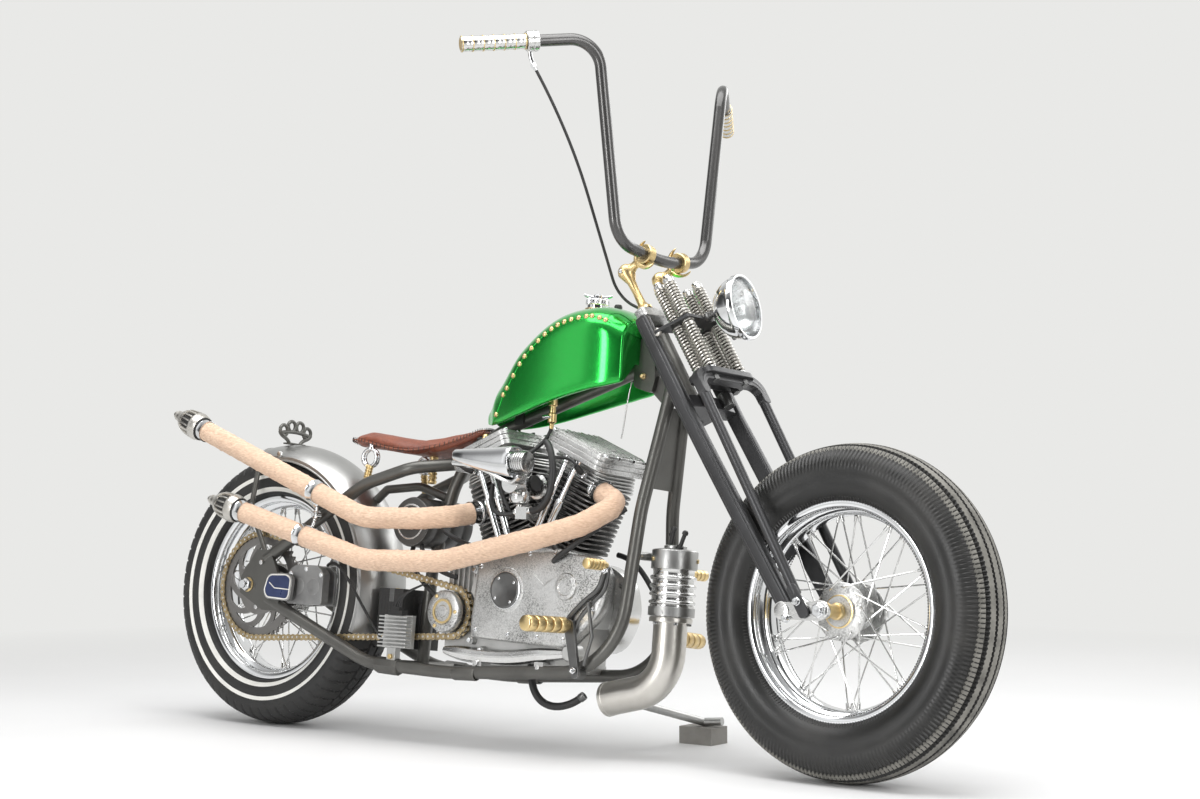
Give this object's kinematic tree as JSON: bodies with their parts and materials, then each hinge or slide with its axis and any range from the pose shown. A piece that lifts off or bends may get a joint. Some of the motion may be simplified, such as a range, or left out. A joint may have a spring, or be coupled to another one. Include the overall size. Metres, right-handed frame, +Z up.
{
  "type": "motorcycle",
  "caption": "Chopper motorcycle with a rigid frame, V-twin engine, springer fork, tall handlebar and wrapped exhausts, leaning on its side stand.",
  "frame": {"origin": "centre of the footprint at floor level", "axes": "+X towards the front wheel, +Y to the rider's left, +Z up"},
  "size_m": [2.2103, 0.9312, 1.5154],
  "materials": {
    "frame_paint": "satin dark grey, rubbed at the edges",
    "tank_paint": "candy green with fine flakes under clear coat",
    "brass": "polished brass",
    "seat_leather": "reddish brown pebbled hide",
    "chrome": "bright chrome",
    "raw_steel": "bare brushed sheet steel",
    "cast_alloy": "cast and cleaned",
    "engraved_alloy": "polished with cut scrollwork",
    "dark_alloy": "dark anodised, edges rubbed bright",
    "fin_black": "black, bright along the fins",
    "polished": "polished",
    "pipe_wrap": "tan heat wrap",
    "nickel": "satin nickel",
    "chain_gold": "gold plated plates",
    "caliper_grey": "blasted grey",
    "black_rubber": "smooth rubber",
    "gunmetal": "dark gloss",
    "tyre_rubber": "grooved rubber",
    "block_grey": "grey painted block"
  },
  "bodies": {
    "frame": {"neck_and_backbone": "frame_paint", "frame_rail_right": "frame_paint", "frame_rail_left": "frame_paint", "seat_stays": "frame_paint", "fuel_tank": "tank_paint", "tank_fittings": "brass", "seat": "seat_leather", "seat_mounts": "chrome", "rear_fender": "raw_steel", "fender_struts": "frame_paint", "knuckle_loop": "frame_paint", "crankcase": "cast_alloy", "gearcase_cover": "engraved_alloy", "points_cover": "dark_alloy", "primary_cover": "engraved_alloy", "cylinders": "fin_black", "cylinder_heads": "cast_alloy", "pushrod_tubes": "chrome", "carburettor": "cast_alloy", "air_intake": "polished", "front_exhaust": "pipe_wrap", "rear_exhaust": "pipe_wrap", "exhaust_tips": "polished", "oil_tank": "fin_black", "battery_box": "fin_black", "regulator": "cast_alloy", "small_sprocket": "engraved_alloy", "drive_chain": "chain_gold", "rear_caliper": "caliper_grey", "rear_axle": "chrome", "front_canister": "polished", "collector_elbow": "nickel", "lower_hose": "black_rubber", "right_controls": "dark_alloy", "left_controls": "dark_alloy", "stand_block": "block_grey"},
    "fork": {"fork_stem": "engraved_alloy", "rear_legs": "frame_paint", "front_legs": "frame_paint", "fork_springs": "chrome", "rockers": "engraved_alloy", "front_axle": "chrome", "handlebar": "gunmetal", "risers": "brass", "grips": "polished", "throttle_housing": "polished", "throttle_cable": "black_rubber", "headlight": "chrome"},
    "front_wheel": {"front_tyre": "tyre_rubber", "front_rim": "chrome", "front_hub": "engraved_alloy"},
    "rear_wheel": {"rear_tyre": "tyre_rubber", "rear_rim": "chrome", "rear_hub": "engraved_alloy", "rear_sprocket": "dark_alloy"},
    "side_stand": {"side_stand": "raw_steel"}
  },
  "joints": [
    {"name": "steering", "type": "hinge", "parent": "frame", "child": "fork", "pos_m": [0.35466, -0.07453, 0.73606], "axis": [-0.5505, 0.0965, 0.8292], "range_deg": [-27.3, 32.7]},
    {"name": "front_wheel_spin", "type": "hinge", "parent": "fork", "child": "front_wheel", "pos_m": [0.77378, -0.12765, 0.33069], "axis": [0.0393, 0.9952, -0.0897], "continuous": true},
    {"name": "rear_wheel_spin", "type": "hinge", "parent": "frame", "child": "rear_wheel", "pos_m": [-0.7861, -0.12324, 0.31766], "axis": [0, 0.9933, -0.1156], "continuous": true},
    {"name": "side_stand_fold", "type": "hinge", "parent": "frame", "child": "side_stand", "pos_m": [0.1689, -0.03524, 0.10496], "axis": [0.0569, 0.2648, 0.9626], "range_deg": [0, 100.9]}
  ]
}
